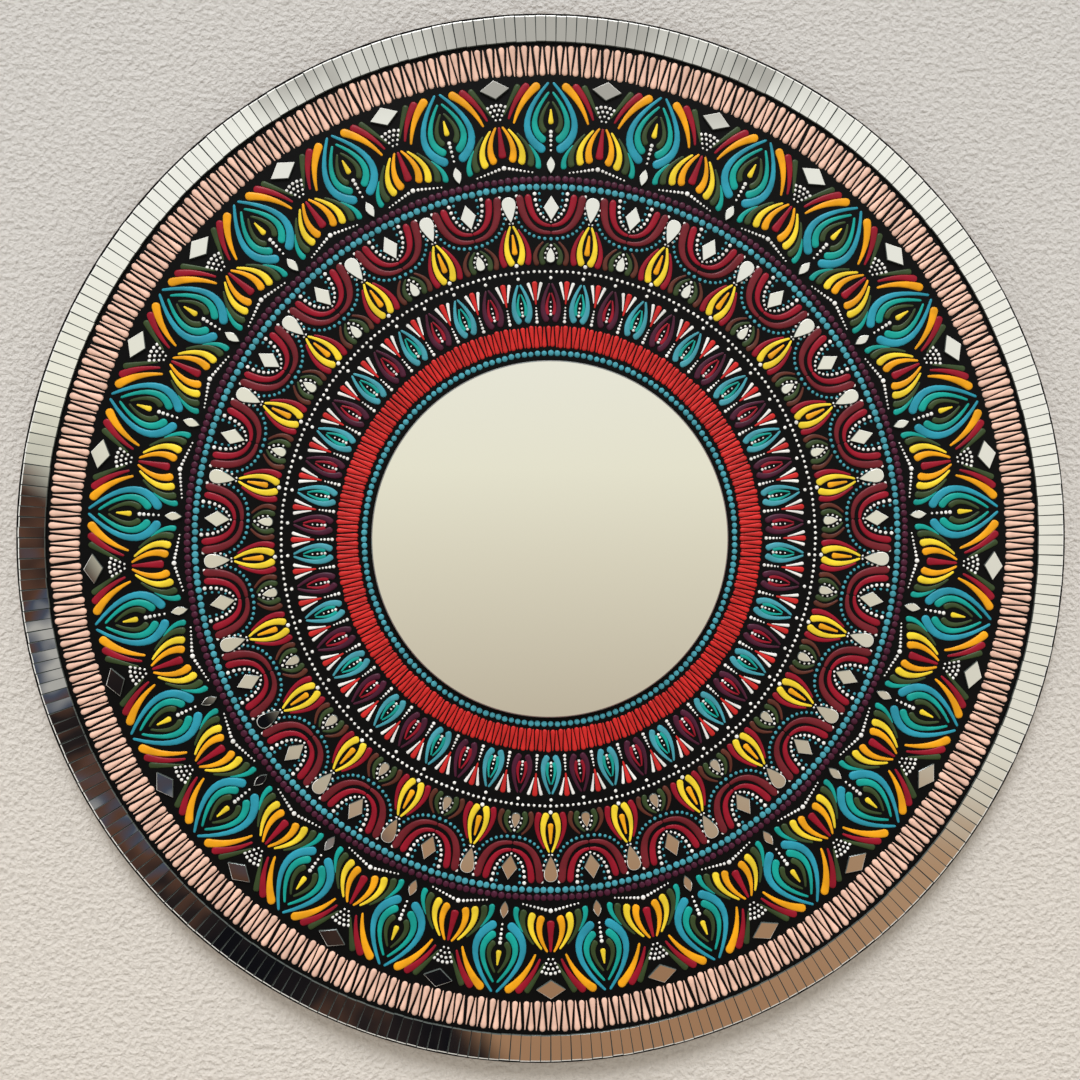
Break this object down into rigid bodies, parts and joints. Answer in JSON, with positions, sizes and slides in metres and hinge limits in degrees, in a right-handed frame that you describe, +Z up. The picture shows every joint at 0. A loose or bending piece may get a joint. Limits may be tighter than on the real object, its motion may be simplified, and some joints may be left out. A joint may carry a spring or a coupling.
{
  "type": "mandala wall mirror",
  "caption": "Round black wall board with a round mirror at its centre, rings of raised dot paint and mirror inlays, a rim of mirror tiles, and ring hangers behind.",
  "frame": {"origin": "the mirror's axis on the wall plane, where the bumpers touch the wall", "axes": "-Y out of the front towards the viewer, +Y into the wall, +Z up, +X to the viewer's right"},
  "size_m": [0.8999, 0.023, 0.9],
  "materials": {
    "black_board": "fibreboard under satin black paint",
    "adhesive": "cured black mastic",
    "tile_mirror": "hand-cut mirror glass",
    "mirror": "polished, with a bevelled edge",
    "inlay_mirror": "cut mirror glass",
    "teal_paint": "satin acrylic paint in low relief",
    "crimson_paint": "satin acrylic paint in low relief",
    "yellow_paint": "satin acrylic paint in low relief",
    "plum_paint": "satin acrylic paint in low relief",
    "rubber": "matt",
    "zinc_steel": "bright zinc plate"
  },
  "bodies": {
    "board": {"backing_board": "black_board", "tile_adhesive": "adhesive", "border_tiles": "tile_mirror", "mirror_mastic": "adhesive", "centre_mirror": "mirror", "outer_diamond_inlays": "inlay_mirror", "marquise_inlays": "inlay_mirror", "inner_diamond_inlays": "inlay_mirror", "drop_inlays": "inlay_mirror", "teardrop_inlays": "inlay_mirror", "lotus_petals": "teal_paint", "scallops": "crimson_paint", "flame_leaves": "yellow_paint", "ring_leaves": "plum_paint", "wall_bumpers": "rubber", "hanger_screws": "zinc_steel", "left_hanger_strap": "zinc_steel", "right_hanger_strap": "zinc_steel"},
    "left_ring": {"left_hanger_ring": "zinc_steel"},
    "right_ring": {"right_hanger_ring": "zinc_steel"}
  },
  "joints": [
    {"name": "left_ring_swing", "type": "hinge", "parent": "board", "child": "left_ring", "pos_m": [-0.25, -0.0032, 0.2], "axis": [1, 0, 0], "range_deg": [-180, 0]},
    {"name": "right_ring_swing", "type": "hinge", "parent": "board", "child": "right_ring", "pos_m": [0.25, -0.0032, 0.2], "axis": [1, 0, 0], "range_deg": [-180, 0]}
  ]
}
